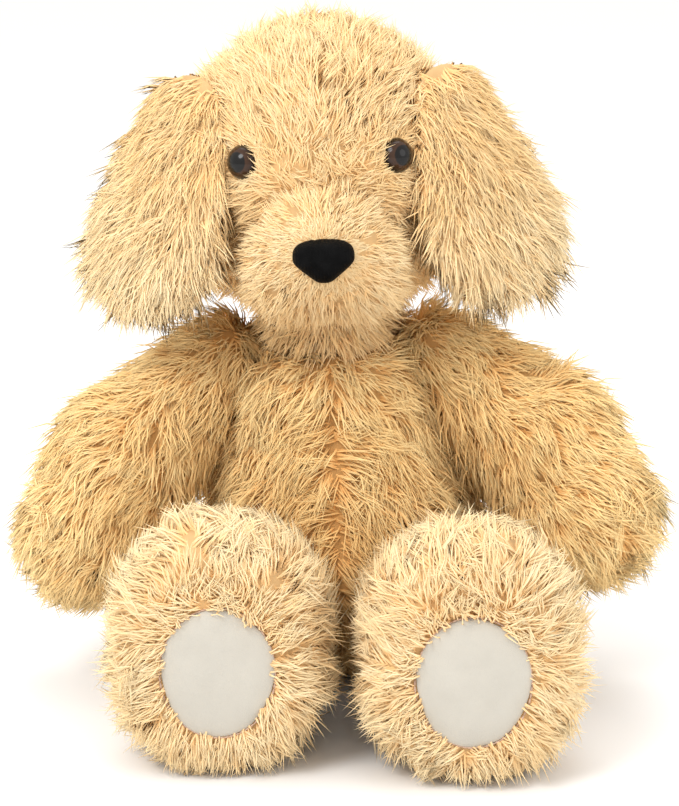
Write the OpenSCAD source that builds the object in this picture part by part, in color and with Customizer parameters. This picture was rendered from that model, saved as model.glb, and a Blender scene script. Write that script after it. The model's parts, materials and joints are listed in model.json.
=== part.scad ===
// Sitting plush dog: every sewn skin, its fill, and the small parts that close and trim it.
// X runs towards the dog's own left side, -Y is the way it faces, Z is up, and it sits on z = 0.
// Each limb ends in a round root that lies in a round hollow of the torso, with a soft wad of
// fill at the centre of that root, so that the limb can turn about the wad in two directions.

/* [Body] */
// Radius of the seat and belly
belly_r = 58; // [56:0.5:60]
// Height of the middle of the belly
belly_z = 50; // [48:1:52]
// Radius of the chest
chest_r = 42; // [40:0.5:43]
// Height of the middle of the chest
chest_z = 112; // [108:1:114]
// Angle that the upper body leans towards its own right
lean = 2.5; // [0:0.5:4]

/* [Head] */
// Radius of the head
head_r = 56; // [53:0.5:56.5]
// Height of the middle of the head
head_z = 218; // [214:1:220]
// Distance that the head stands in front of the seat's middle
head_forward = 12; // [8:1:16]
// Radius of the muzzle
muzzle_r = 26; // [24:0.5:27]
// Diameter of an eye
eye_d = 14; // [12:0.5:15]
// Distance between the eyes' centres
eye_pitch = 62; // [56:1:66]
// Width of the nose
nose_w = 24; // [22:0.5:26]

/* [Ears] */
// Length of an ear
ear_len = 102; // [90:1:104]
// Width of an ear at its widest
ear_w = 60; // [54:1:62]
// Thickness of an ear's long plush
ear_plush_t = 8; // [6:0.5:9]
// Thickness of an ear's lining
ear_lining_t = 3; // [2:0.5:4]

/* [Arms] */
// Radius of an arm at the shoulder
shoulder_r = 19; // [18:0.5:20]
// Radius of an arm at the elbow
elbow_r = 25; // [23:0.5:26]
// Radius of a paw
paw_r = 29.5; // [28:0.5:30]

/* [Legs] */
// Radius of a leg at the hip
hip_r = 28; // [26:0.5:29]
// Radius of a foot
foot_r = 38; // [36:0.5:39]
// Height that a foot adds to its own roundness
foot_rise = 18; // [14:1:20]
// Distance of the left sole in front of the seat's middle
left_reach = 172; // [164:1:176]
// Distance of the right sole in front of the seat's middle
right_reach = 160; // [156:1:168]
// Width of a sole pad
pad_w = 43; // [38:1:45]
// Height of a sole pad
pad_h = 50; // [44:1:54]

/* [Fabric] */
// Thickness of a plush skin with its pile pressed flat
skin_t = 3; // [2.5:0.5:3.5]
// Space left between a skin and what lies in it
lay_gap = 0.3; // [0.2:0.05:0.4]
// Diameter of the sewing thread
thread_d = 1.2; // [0.8:0.1:1.4]

/* [Hidden] */

$fn = 64;
LEFT = 1;
RIGHT = -1;

// Colours of the fabrics and fittings
GOLDEN = [0.91, 0.73, 0.46];
CREAM = [0.94, 0.84, 0.63];
PALE = [0.96, 0.88, 0.72];
VELOUR = [0.91, 0.88, 0.83];
FILL = [0.97, 0.97, 0.95];
THREAD = [0.78, 0.60, 0.38];
SEAM_PINK = [0.76, 0.62, 0.52];
DARK = [0.10, 0.07, 0.05];

// Dish that an arm clears in the torso's side as it swings about its shoulder
arm_dish_out = 24;
arm_dish_r = 40;
// Radius that a leg clears in the torso as it swings about its hip
leg_sweep_r = 35;

// Space between a round root and the hollow that it turns in
root_gap = 0.8;
// Space between a wad of fill and the fill around it
wad_gap = 0.6;
// A cone between two spheres is this much slimmer than one that would just touch them
waist = 0.985;
// Cutting blocks reach this far
far = 400;

// Turns a point of the upright body to where the leaning body holds it
function leaned(p) = [
    p.x * cos(lean) - p.z * sin(lean),
    p.y,
    p.x * sin(lean) + p.z * cos(lean)
];
belly_at = [0, 2, belly_z];
chest_at = leaned([0, -1, chest_z]);
neck_at = leaned([0, -6, chest_z + chest_r - 6]);
neck_r = 27;
neck_wad_r = 20;
// Between its ball and the head the neck is slim enough to nod clear of the chest
neck_slim_r = 23;
neck_flare_r = 40;
neck_flare_h = 40;
head_at = leaned([0, -head_forward, head_z]);
function shoulder_at(side) = leaned([46 * side, -4, 130]);
function elbow_at(side) = leaned([86 * side, -18, 98]);
function paw_at(side) = leaned([102 * side, -28, 66]);
shoulder_wad_r = 12;
function reach(side) = side > 0 ? left_reach : right_reach;
function hip_at(side) = [38 * side, -32, 40];
hip_wad_r = 20;
// The sole is cut flat this far in front of the foot's middle
sole_cut = 28;
function foot_at(side) = [48 * side, sole_cut - reach(side), foot_r];
tail_at = [0, 50, 27];
tail_mid = [0, 76, 36];
tail_tip = [0, 92, 56];
tail_root_r = 10;
tail_mid_r = 9;
tail_tip_r = 7;

// The seat is flat, and the pouch of pellets lies just above it
pouch_at = [0, 8, 20];
pouch_r = 27;
pouch_half_h = 13;
pouch_t = 0.8;
pellet_r = 3.4;
pellet_pitch = 7.2;

// Muzzle and nose, measured from the head's middle
muzzle_from_head = [0, -50, -28];
nose_back = -74.4;
nose_corner_r = 5;
nose_rise = 1;
eye_dome_h = 5;
eye_up = 6;
shank_r = 2.2;
shank_len = 14;
washer_r = 9;
washer_t = 1.2;
washer_depth = 4.2;

// Where an ear is sewn on, measured from the head's middle, and how its flap hangs
ear_root = [43, -17, 36];
ear_yaw = 45;
ear_tilt = 18;
ear_roll = 12;
ear_curve_r = 85;
ear_clear = 0.8;

// Places children along the line from one point to another, with +Z along the line
module along(a, b) {
    d = b - a;
    translate(a)
        rotate([0, acos(d.z / norm(d)), atan2(d.y, d.x)])
            children();
}

// Spheres strung on a line of points, and the cones that join each to the next
module limb_chain(points, radii) {
    for (i = [0 : len(points) - 1])
        translate(points[i]) sphere(r = radii[i]);
    for (i = [0 : len(points) - 2]) {
        a = points[i];
        b = points[i + 1];
        d = norm(b - a);
        slope = (radii[i + 1] - radii[i]) / d;
        flare = sqrt(1 - slope * slope) * waist;
        along(a, b)
            translate([0, 0, -radii[i] * slope])
                cylinder(
                    h = d - (radii[i + 1] - radii[i]) * slope,
                    r1 = radii[i] * flare,
                    r2 = radii[i + 1] * flare
                );
    }
}

// Two spheres and the cone that joins them, all with their poles on the one line
module tapered_piece(a, ra, b, rb) {
    d = norm(b - a);
    slope = (rb - ra) / d;
    flare = sqrt(1 - slope * slope) * waist;
    along(a, b) {
        sphere(r = ra);
        translate([0, 0, d]) sphere(r = rb);
        translate([0, 0, -ra * slope])
            cylinder(h = d - (rb - ra) * slope, r1 = ra * flare, r2 = rb * flare);
    }
}

// Turns children about a point
module turned(about, angles) {
    translate(about) rotate(angles) translate(-about) children();
}

// Shows children on the left side, or mirrored on the right
module on_side(side) {
    if (side > 0) {
        children();
    } else {
        mirror([1, 0, 0]) children();
    }
}

// Children measured from the head's middle, leaning with it
module in_head() {
    translate(head_at) rotate([0, -lean, 0]) children();
}

// Ring of thread laid round a limb's root where it meets the torso
module root_seam(root, root_r, inside, spread) {
    ring_r = root_r + thread_d;
    color(THREAD)
        along(root, inside)
            rotate_extrude()
                translate([ring_r * sin(spread), ring_r * cos(spread)])
                    circle(d = thread_d, $fn = 24);
}

// Groove in the torso that holds a root's ring of thread
module root_groove(root, root_r, inside, spread) {
    ring_r = root_r + thread_d;
    along(root, inside)
        rotate_extrude()
            translate([ring_r * sin(spread), ring_r * cos(spread)])
                circle(d = thread_d + 0.4, $fn = 24);
}

// Space that an arm's root and its swing take out of the torso's side
module arm_room(side, grow) {
    translate(shoulder_at(side)) sphere(r = shoulder_r + grow);
    translate(shoulder_at(side) + [arm_dish_out * side, 0, 0]) sphere(r = arm_dish_r + grow);
}

// Space that a leg's root and its swing take out of the torso's lower front
module leg_room(side, grow) {
    root = hip_at(side);
    inner_x = abs(root.x) - hip_r - grow;
    translate(root) sphere(r = hip_r + grow);
    on_side(side)
        intersection() {
            translate([inner_x, root.y, root.z])
                rotate([0, 90, 0])
                    cylinder(h = 3 * hip_r, r = leg_sweep_r + grow);
            translate([-1, root.y - 100, -10]) cube([120, 112, 120]);
        }
}

// Space that the tail's root and its wag take out of the torso's back
module tail_room(grow) {
    translate(tail_at) sphere(r = tail_root_r + grow);
    along(tail_at, tail_mid)
        cylinder(h = 30, r1 = tail_root_r * 0.8 + grow, r2 = tail_root_r + 18 + grow);
}

// The torso's outer form, drawn in by an inset, with a flat seat and a hollow for each root
module torso_form(inset) {
    grow = root_gap + inset;
    difference() {
        limb_chain([belly_at, chest_at], [belly_r - inset, chest_r - inset]);
        translate([-far / 2, -far / 2, inset - far]) cube(far);
        translate(neck_at) sphere(r = neck_r + grow);
        for (side = [LEFT, RIGHT]) {
            arm_room(side, grow);
            leg_room(side, grow);
        }
        tail_room(grow);
    }
}

module torso_skin() {
    color(GOLDEN)
        difference() {
            torso_form(0);
            torso_form(skin_t);
            root_groove(neck_at, neck_r, chest_at, 50);
            for (side = [LEFT, RIGHT]) {
                root_groove(shoulder_at(side), shoulder_r, chest_at, 38);
                root_groove(hip_at(side), hip_r, belly_at, 38);
            }
            root_groove(tail_at, tail_root_r, belly_at, 45);
        }
}

module torso_stuffing() {
    color(FILL)
        difference() {
            torso_form(skin_t + lay_gap);
            translate(pouch_at) pouch_form(-lay_gap);
        }
}

// Flattened round bag, drawn in by an inset
module pouch_form(inset) {
    a = pouch_r - inset;
    b = pouch_half_h - inset;
    rotate_extrude()
        polygon([
            for (i = [0 : 12])
                let (t = 90 - 15 * i)
                    [a * pow(abs(cos(t)), 0.8), b * sign(sin(t)) * pow(abs(sin(t)), 0.8)]
        ]);
}

module pellet_pouch() {
    color(PALE)
        translate(pouch_at)
            difference() {
                pouch_form(0);
                pouch_form(pouch_t);
            }
}

// Beads of the pouch: layers of rows that fill the bag's round shape
module pellets() {
    color("ivory")
        translate(pouch_at)
            for (layer = [-1 : 1])
                for (row = [-3 : 3])
                    for (place = [-3 : 3]) {
                        x = (place + (row % 2 == 0 ? 0 : 0.5)) * pellet_pitch;
                        y = row * pellet_pitch * 0.87;
                        room = (pouch_r - 6) * (layer == 0 ? 1 : 0.75);
                        if (norm([x, y]) < room)
                            translate([x, y, layer * pellet_pitch]) sphere(r = pellet_r, $fn = 24);
                    }
}

module neck_seam() {
    root_seam(neck_at, neck_r, chest_at, 50);
}

module shoulder_seam(side) {
    root_seam(shoulder_at(side), shoulder_r, chest_at, 38);
}

module hip_seam(side) {
    root_seam(hip_at(side), hip_r, belly_at, 38);
}

module tail_seam() {
    root_seam(tail_at, tail_root_r, belly_at, 45);
}

// Ladder stitches that close the torso up the back, from above the tail to between the shoulders
module back_stitches() {
    slope = (belly_r - chest_r) / norm(chest_at - belly_at);
    flare = sqrt(1 - slope * slope);
    low_y = belly_at.y + belly_r * flare;
    low_z = belly_z + belly_r * slope;
    high_y = chest_at.y + chest_r * flare;
    high_z = chest_at.z + chest_r * slope;
    color(THREAD)
        for (i = [0 : 11]) {
            z = low_z + 1 + i * 3.8;
            y = low_y + (high_y - low_y) * (z - low_z) / (high_z - low_z);
            translate([-z * sin(lean), y + thread_d / 2 + 0.1, z])
                rotate([0, 90, 0])
                    cylinder(h = 6, d = thread_d, center = true, $fn = 24);
        }
}

// Blank folded label in the back seam
module care_label() {
    color("white")
        turned(belly_at, [0, 0, -26])
            translate([belly_at.x, belly_at.y + belly_r + 1, belly_z - 16])
                cube([16, 0.8, 24], center = true);
}

// The head's outer form with the neck under it, drawn in by an inset
module head_form(inset) {
    translate(neck_at) sphere(r = neck_r - inset);
    translate(head_at) sphere(r = head_r - inset);
    along(neck_at, head_at)
        cylinder(h = neck_flare_h, r1 = neck_slim_r - inset, r2 = neck_flare_r - inset);
}

// Children with +Z out of the face at an eye's centre
module at_eye(side) {
    x = eye_pitch / 2;
    out = [x, -sqrt(pow(head_r, 2) - x * x - eye_up * eye_up), eye_up];
    in_head()
        on_side(side)
            rotate([0, acos(out.z / norm(out)), atan2(out.y, out.x)])
                translate([0, 0, norm(out) + 0.2])
                    children();
}

module head_skin() {
    color(CREAM)
        difference() {
            head_form(0);
            head_form(skin_t);
            for (side = [LEFT, RIGHT])
                at_eye(side)
                    translate([0, 0, -shank_len]) cylinder(h = 2 * shank_len, r = shank_r + 0.6);
        }
}

module head_stuffing() {
    color(FILL)
        difference() {
            head_form(skin_t + lay_gap);
            translate(neck_at) sphere(r = neck_wad_r + wad_gap);
            for (side = [LEFT, RIGHT])
                at_eye(side)
                    translate([0, 0, -shank_len - 2]) cylinder(h = 2 * shank_len, r = washer_r + 1);
        }
}

module neck_stuffing() {
    color(FILL) translate(neck_at) sphere(r = neck_wad_r);
}

module muzzle_skin() {
    color(PALE)
        in_head()
            difference() {
                translate(muzzle_from_head) sphere(r = muzzle_r);
                translate(muzzle_from_head) sphere(r = muzzle_r - skin_t);
                sphere(r = head_r + lay_gap);
                translate([-far / 2, nose_back + 0.2 - far, -far / 2]) cube(far);
            }
}

module muzzle_stuffing() {
    color(FILL)
        in_head()
            difference() {
                translate(muzzle_from_head) sphere(r = muzzle_r - skin_t - lay_gap);
                sphere(r = head_r + lay_gap);
            }
}

// Rounded triangle of the nose, drawn in by an inset and flat at the back
module nose_form(inset, set_back = 0) {
    x = nose_w / 2 - nose_corner_r;
    r = nose_corner_r - inset;
    intersection() {
        translate([0, nose_back - 4.4 + set_back, muzzle_from_head.z + nose_rise])
            hull() {
                translate([x, 0, 3.6]) sphere(r = r, $fn = 32);
                translate([-x, 0, 3.6]) sphere(r = r, $fn = 32);
                translate([0, -0.6, 1]) sphere(r = r + 1, $fn = 32);
                translate([0, 0, -4.4]) sphere(r = r - 0.4, $fn = 32);
            }
        translate([-far / 2, nose_back - far, -far / 2]) cube(far);
    }
}

module nose_cover() {
    color(DARK)
        in_head()
            difference() {
                nose_form(0);
                translate([0, 1, 0]) nose_form(1.2);
                translate([0, nose_back, muzzle_from_head.z + nose_rise])
                    cube([6, 3, 6], center = true);
            }
}

module nose_padding() {
    color(FILL) in_head() nose_form(1.6, 1);
}

// Domed eye with a ridged shank that goes through the skin
module eye(side) {
    dome_r = (pow(eye_d / 2, 2) + eye_dome_h * eye_dome_h) / (2 * eye_dome_h);
    color(DARK)
        at_eye(side) {
            intersection() {
                translate([0, 0, eye_dome_h - dome_r]) sphere(r = dome_r);
                cylinder(h = eye_dome_h + 1, r = eye_d);
            }
            translate([0, 0, -shank_len]) cylinder(h = shank_len + 0.5, r = shank_r);
            for (i = [0 : 3])
                translate([0, 0, -shank_len + 1 + 2 * i]) cylinder(h = 0.8, r = shank_r + 0.4);
        }
}

// Locking washer pressed on an eye's shank inside the head
module eye_washer(side) {
    color("whitesmoke")
        at_eye(side)
            translate([0, 0, -washer_depth - washer_t])
                difference() {
                    cylinder(h = washer_t, r = washer_r);
                    translate([0, 0, -1]) cylinder(h = washer_t + 2, r = shank_r + 0.5);
                }
}

// Outline of an ear, hanging from the root at the origin
module ear_outline() {
    lobe_r = ear_w / 2;
    root_r = 21;
    lobe_y = lobe_r - ear_len;
    difference() {
        union() {
            translate([0, lobe_y]) circle(r = lobe_r);
            translate([0, -14]) circle(r = root_r);
            polygon([
                [-lobe_r * 0.99, lobe_y + 4],
                [lobe_r * 0.99, lobe_y + 4],
                [root_r * 0.97, -14],
                [-root_r * 0.97, -14]
            ]);
        }
        translate([-far / 2, 0]) square(far);
    }
}

// Curved layer of an ear between two depths from its inner face, clear of the head
module ear_layer(side, low, high) {
    difference() {
        in_head()
            on_side(side)
                translate(ear_root)
                    rotate([0, 0, -ear_yaw])
                        rotate([0, -ear_tilt, 0])
                            rotate([ear_roll, 0, 0])
                                intersection() {
                                    rotate([90, 0, 90]) linear_extrude(60, center = true) ear_outline();
                                    translate([-ear_curve_r, 0, -ear_len - 10])
                                        difference() {
                                            cylinder(h = ear_len + 20, r = ear_curve_r + high, $fn = 128);
                                            translate([0, 0, -1])
                                                cylinder(h = ear_len + 22, r = ear_curve_r + low, $fn = 128);
                                        }
                                }
        head_form(-ear_clear);
    }
}

module ear_plush(side) {
    color(CREAM) ear_layer(side, ear_lining_t + lay_gap, ear_lining_t + ear_plush_t);
}

module ear_lining(side) {
    color(PALE) ear_layer(side, 0, ear_lining_t);
}

// An arm's outer form, drawn in by an inset
module arm_form(side, inset) {
    limb_chain(
        [shoulder_at(side), elbow_at(side), paw_at(side)],
        [shoulder_r - inset, elbow_r - inset, paw_r - inset]
    );
}

module arm_skin(side) {
    color(GOLDEN)
        difference() {
            arm_form(side, 0);
            arm_form(side, skin_t);
        }
}

module arm_stuffing(side) {
    color(FILL)
        difference() {
            arm_form(side, skin_t + lay_gap);
            translate(shoulder_at(side)) sphere(r = shoulder_wad_r + wad_gap);
        }
}

module shoulder_stuffing(side) {
    color(FILL) translate(shoulder_at(side)) sphere(r = shoulder_wad_r);
}

// A leg's outer form with its foot and flat sole, drawn in by an inset
module leg_form(side, inset) {
    foot = foot_at(side);
    difference() {
        union() {
            tapered_piece(hip_at(side), hip_r - inset, foot, foot_r - inset);
            translate(foot + [0, 0, foot_rise]) sphere(r = foot_r - inset);
        }
        translate([-far / 2, inset - reach(side) - far, -far / 2]) cube(far);
    }
}

module leg_skin(side) {
    color(CREAM)
        difference() {
            leg_form(side, 0);
            leg_form(side, skin_t);
        }
}

module leg_stuffing(side) {
    color(FILL)
        difference() {
            leg_form(side, skin_t + lay_gap);
            translate(hip_at(side)) sphere(r = hip_wad_r + wad_gap);
        }
}

module hip_stuffing(side) {
    color(FILL) translate(hip_at(side)) sphere(r = hip_wad_r);
}

// Children with +Z out of the sole at the pad's middle
module at_pad(side) {
    translate([foot_at(side).x, -reach(side), foot_r + 4])
        rotate([90, 0, 0])
            children();
}

module sole_pad(side) {
    color(VELOUR)
        at_pad(side)
            translate([0, 0, 0.1])
                scale([pad_w / 2, pad_h / 2, 1])
                    cylinder(h = 2.4, r = 1);
}

module sole_seam(side) {
    color(SEAM_PINK)
        at_pad(side)
            translate([0, 0, thread_d / 2 + 0.1])
                scale([pad_w / 2 + 1, pad_h / 2 + 1, 1])
                    rotate_extrude()
                        translate([1, 0])
                            square([thread_d * 0.04, thread_d * 0.9], center = true);
}

// The tail's outer form, drawn in by an inset
module tail_form(inset) {
    limb_chain(
        [tail_at, tail_mid, tail_tip],
        [tail_root_r - inset, tail_mid_r - inset, tail_tip_r - inset]
    );
}

module tail_skin() {
    color(GOLDEN)
        difference() {
            tail_form(0);
            tail_form(skin_t);
        }
}

module tail_stuffing() {
    color(FILL) tail_form(skin_t + lay_gap);
}

torso_skin();
torso_stuffing();
pellet_pouch();
pellets();
neck_seam();
shoulder_seam(LEFT);  // left_shoulder_seam
shoulder_seam(RIGHT);  // right_shoulder_seam
hip_seam(LEFT);  // left_hip_seam
hip_seam(RIGHT);  // right_hip_seam
tail_seam();
back_stitches();
care_label();
neck_stuffing();
head_skin();
head_stuffing();
muzzle_skin();
muzzle_stuffing();
nose_cover();
nose_padding();
eye(LEFT);  // left_eye
eye(RIGHT);  // right_eye
eye_washer(LEFT);  // left_eye_washer
eye_washer(RIGHT);  // right_eye_washer
ear_plush(LEFT);  // left_ear_plush
ear_lining(LEFT);  // left_ear_lining
ear_plush(RIGHT);  // right_ear_plush
ear_lining(RIGHT);  // right_ear_lining
shoulder_stuffing(LEFT);  // left_shoulder_stuffing
shoulder_stuffing(RIGHT);  // right_shoulder_stuffing
arm_skin(LEFT);  // left_arm_skin
arm_stuffing(LEFT);  // left_arm_stuffing
arm_skin(RIGHT);  // right_arm_skin
arm_stuffing(RIGHT);  // right_arm_stuffing
hip_stuffing(LEFT);  // left_hip_stuffing
hip_stuffing(RIGHT);  // right_hip_stuffing
leg_skin(LEFT);  // left_leg_skin
leg_stuffing(LEFT);  // left_leg_stuffing
leg_skin(RIGHT);  // right_leg_skin
leg_stuffing(RIGHT);  // right_leg_stuffing
sole_pad(LEFT);  // left_sole_pad
sole_pad(RIGHT);  // right_sole_pad
sole_seam(LEFT);  // left_sole_seam
sole_seam(RIGHT);  // right_sole_seam
tail_skin();
tail_stuffing();
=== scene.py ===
"""Looks of the sitting plush dog: padded skins, standing pile, face, soles and inner pieces.

Skins and fills are closed forms worked out from distance rules; ears, nose, soles and eyes
are worked out from outlines. Every pile is made of tufts of tapered strands that are rooted
on a skin and combed by a flow rule. Lengths are in metres.
"""
import json
import math

import bpy
import numpy as np
from mathutils import Matrix, Vector


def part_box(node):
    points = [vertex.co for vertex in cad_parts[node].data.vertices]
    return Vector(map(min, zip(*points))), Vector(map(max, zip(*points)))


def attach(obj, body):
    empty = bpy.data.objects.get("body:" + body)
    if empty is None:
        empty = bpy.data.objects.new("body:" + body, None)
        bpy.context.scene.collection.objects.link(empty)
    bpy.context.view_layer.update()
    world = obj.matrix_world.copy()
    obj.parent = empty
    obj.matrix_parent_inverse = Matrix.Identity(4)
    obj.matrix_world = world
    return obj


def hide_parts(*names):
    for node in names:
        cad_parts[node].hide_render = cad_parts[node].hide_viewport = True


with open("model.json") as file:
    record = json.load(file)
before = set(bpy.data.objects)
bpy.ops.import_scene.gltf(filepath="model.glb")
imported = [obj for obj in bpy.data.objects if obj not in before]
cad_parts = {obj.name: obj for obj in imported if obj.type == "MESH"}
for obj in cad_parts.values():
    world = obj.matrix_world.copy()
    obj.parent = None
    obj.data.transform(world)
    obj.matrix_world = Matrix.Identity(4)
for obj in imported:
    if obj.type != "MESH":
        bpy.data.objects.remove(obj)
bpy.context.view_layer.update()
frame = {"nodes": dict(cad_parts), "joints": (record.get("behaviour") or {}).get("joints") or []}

bl_info = {
    "name": "Plush dog",
    "version": (1, 0, 0),
    "blender": (4, 5, 0),
    "location": "View3D > Sidebar > Plush dog",
    "description": "Dresses the packed plush dog: padded skins, pile, face, soles and inner pieces",
    "category": "Object",
}

MM = 0.001
SIDES = (("left", 1.0), ("right", -1.0))
STRAND_MAP = "OFBake"
PIN = {joint["name"]: np.array(joint.get("pos_m", (0, 0, 0)), float) for joint in frame["joints"]}


# ---------------------------------------------------------------- places, from the frame

def node_box(node):
    """Lowest and highest corner of a CAD node, as arrays."""
    low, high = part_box(node)
    return np.array(low, float), np.array(high, float)


LEAN = math.radians(2.5)
UPRIGHT = np.array([
    [math.cos(LEAN), 0.0, -math.sin(LEAN)],
    [0.0, 1.0, 0.0],
    [math.sin(LEAN), 0.0, math.cos(LEAN)],
])
HEAD_R = 56 * MM
NECK_R = 27 * MM
PAW_R = 29.5 * MM
ELBOW_R = 25 * MM
SHOULDER_R = 19 * MM
HIP_R = 28 * MM
FOOT_R = 38 * MM
BELLY_R = 58 * MM
CHEST_R = 42 * MM
head_low, head_high = node_box("head_skin")
NECK = PIN["head_nod"]
HEAD = np.array([
    (head_low[0] + head_high[0]) / 2,
    (head_low[1] + head_high[1]) / 2,
    head_high[2] - HEAD_R,
])
UP = (0, 0, 1)
BACKWARD = (0, 1, 0)
TORSO_MIDDLE = np.array([-2 * MM, 2 * MM, 70 * MM])
TAIL_MIDDLE = PIN["tail_wag"] + np.array([0, 24 * MM, 9 * MM])
TAIL_POLE = (0, 1, 0.6)
BELLY = np.array([0.0, 2 * MM, 50 * MM])
CHEST = UPRIGHT @ np.array([0.0, -1 * MM, 112 * MM])
MUZZLE = HEAD + UPRIGHT @ np.array([0.0, -50 * MM, -28 * MM])
MUZZLE_R = 26 * MM
NOSE = HEAD + UPRIGHT @ np.array([0.0, -79 * MM, -30 * MM])
EYE_PITCH = 62 * MM
EYE_UP = 6 * MM
EYE_R = 7 * MM
PAD_HALF = (21.5 * MM, 25 * MM)
PAD_UP = 4 * MM
SOLE_TO_FOOT = 28 * MM
PAW_UP = 1 * MM
ELBOW_BOW = 12 * MM
ELBOW_FORWARD = 2 * MM


def from_head(x, y, z):
    """A point measured from the head's middle, leaning with it."""
    return HEAD + UPRIGHT @ np.array([x, y, z])


def eye_axis(side):
    """Unit direction in which an eye faces."""
    half = EYE_PITCH / 2
    forward = math.sqrt(HEAD_R ** 2 - half ** 2 - EYE_UP ** 2)
    return UPRIGHT @ np.array([half * side, -forward, EYE_UP]) / HEAD_R


def eye_seat(side):
    """Point on the head's skin where an eye sits."""
    return HEAD + eye_axis(side) * (HEAD_R + 0.2 * MM)


def foot_middle(name):
    """Middle of the foot's round, from the leg's box."""
    low, high = node_box(name + "_leg_skin")
    outer = high[0] if name == "left" else low[0]
    sign = 1.0 if name == "left" else -1.0
    return np.array([outer - sign * FOOT_R, low[1] + SOLE_TO_FOOT, FOOT_R])


def pad_middle(name):
    """Middle of a sole pad, on the flat of the sole."""
    foot = foot_middle(name)
    return np.array([foot[0], node_box(name + "_leg_skin")[0][1], foot[2] + PAD_UP])


def paw_middle(name):
    """Middle of a paw's round, from the arm's box."""
    low, high = node_box(name + "_arm_skin")
    x = high[0] - PAW_R if name == "left" else low[0] + PAW_R
    return np.array([x, low[1] + PAW_R, low[2] + PAW_R + PAW_UP])


def elbow_middle(name, sign):
    """Middle of an elbow: half way down the arm and bowed outwards."""
    half_way = (PIN[name + "_arm_raise"] + paw_middle(name)) / 2
    return half_way + np.array([ELBOW_BOW * sign, -ELBOW_FORWARD, 0.0])


def arm_middle(name, sign):
    """Point inside an arm from which its skin and its fill are worked out."""
    return elbow_middle(name, sign) * 0.7 + paw_middle(name) * 0.3


def leg_middle(name):
    """Point inside a foot from which the leg's skin and its fill are worked out."""
    return foot_middle(name) + np.array([0, 8 * MM, 8 * MM])


# ---------------------------------------------------------------- settings

def length_setting(name, description, default, low, high):
    """A length that can be set in the panel."""
    return bpy.props.FloatProperty(name=name, description=description, default=default,
                                   min=low, max=high, unit="LENGTH")


def colour_setting(name, description, default):
    """A colour that can be set in the panel."""
    return bpy.props.FloatVectorProperty(name=name, description=description, default=default,
                                         size=3, min=0, max=1, subtype="COLOR")


class DogSizes(bpy.types.PropertyGroup):
    """Sizes of the pile."""

    body_pile: length_setting(
        "Body pile", "Length of the pile on torso and arms", 0.017, 0.005, 0.04)
    head_pile: length_setting(
        "Head pile", "Length of the pile on the head", 0.0145, 0.005, 0.04)
    muzzle_pile: length_setting(
        "Muzzle pile", "Length of the pile on the muzzle", 0.0105, 0.004, 0.03)
    ear_pile: length_setting(
        "Ear pile", "Length of the pile on the ears", 0.018, 0.005, 0.04)
    foot_pile: length_setting(
        "Foot pile", "Length of the pile on legs and feet", 0.015, 0.005, 0.04)
    strand_width: length_setting(
        "Strand width", "Width of a strand; more at its root, less at its bend",
        0.00074, 0.0002, 0.002)
    tuft_spread: length_setting(
        "Tuft spread", "Radius over which a tuft's strands are rooted", 0.0040, 0.001, 0.01)
    density: bpy.props.FloatProperty(
        name="Pile density", description="Share of the full number of strands",
        default=1.0, min=0.05, max=1.0, subtype="FACTOR")


class DogColours(bpy.types.PropertyGroup):
    """Colours of the fabrics, as linear values."""

    # Painted shade: each root colour is darker than its tip, to stand for the shade deep in the
    # pile.
    golden_root: colour_setting(
        "Golden root", "Colour deep in the body's pile", (0.86, 0.47, 0.16))
    golden_tip: colour_setting(
        "Golden tip", "Colour at the tips of the body's pile", (0.99, 0.645, 0.265))
    cream_root: colour_setting(
        "Cream root", "Colour deep in the head's and feet's pile", (0.92, 0.58, 0.26))
    cream_tip: colour_setting(
        "Cream tip", "Colour at the tips of the head's and feet's pile", (0.92, 0.62, 0.285))
    velour: colour_setting("Velour", "Colour of the sole pads", (0.50, 0.472, 0.415))
    iris: colour_setting(
        "Iris", "Colour of the ring round the eye's middle", (0.055, 0.022, 0.009))


# ---------------------------------------------------------------- number work

def unit(rows):
    """Rows divided by their lengths."""
    return rows / np.maximum(np.linalg.norm(rows, axis=-1, keepdims=True), 1e-12)


def waves(points, size, seed, octaves=2):
    """Smooth bumps between about -1 and 1: a sum of sine waves in random directions."""
    rng = np.random.default_rng(seed)
    total = np.zeros(points.shape[:-1])
    share = 0.0
    for octave in range(octaves):
        turns = unit(rng.normal(size=(7, 3))) * (2 * math.pi / size) * 1.9 ** octave
        phase = rng.uniform(0, 2 * math.pi, 7)
        weight = 0.55 ** octave
        total += weight * np.sin(points @ turns.T + phase).sum(-1) / 2.6
        share += weight
    return total / share


def gusts(points, size, seed):
    """A smooth random vector at every point, one run of waves for each axis."""
    return np.stack([waves(points, size, seed + i) for i in range(3)], -1)


def along_surface(vectors, normals):
    """Vectors with their part along the normals taken out."""
    return vectors - (vectors * normals).sum(-1, keepdims=True) * normals


def soft_step(value, low, high):
    """0 below low, 1 above high, and a smooth rise between."""
    t = np.clip((value - low) / (high - low), 0, 1)
    return t * t * (3 - 2 * t)


def ball(points, centre, radius):
    """Distance to a sphere."""
    return np.linalg.norm(points - centre, axis=-1) - radius


def limb(points, a, b, radius_a, radius_b):
    """Distance to a rod with round ends whose radius runs evenly from a to b."""
    line = b - a
    part = np.clip((points - a) @ line / (line @ line), 0, 1)
    return np.linalg.norm(points - a - part[..., None] * line, axis=-1) - (
        radius_a + (radius_b - radius_a) * part)


def joined(a, b, blend):
    """The lesser of two distances, rounded where they meet."""
    h = np.clip(0.5 + 0.5 * (b - a) / blend, 0, 1)
    return b + (a - b) * h - blend * h * (1 - h)


def cut(a, b, blend):
    """Distance a with the space of distance b taken out, rounded at the rim."""
    return -joined(-a, b, blend)


HALVINGS = 26


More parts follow.
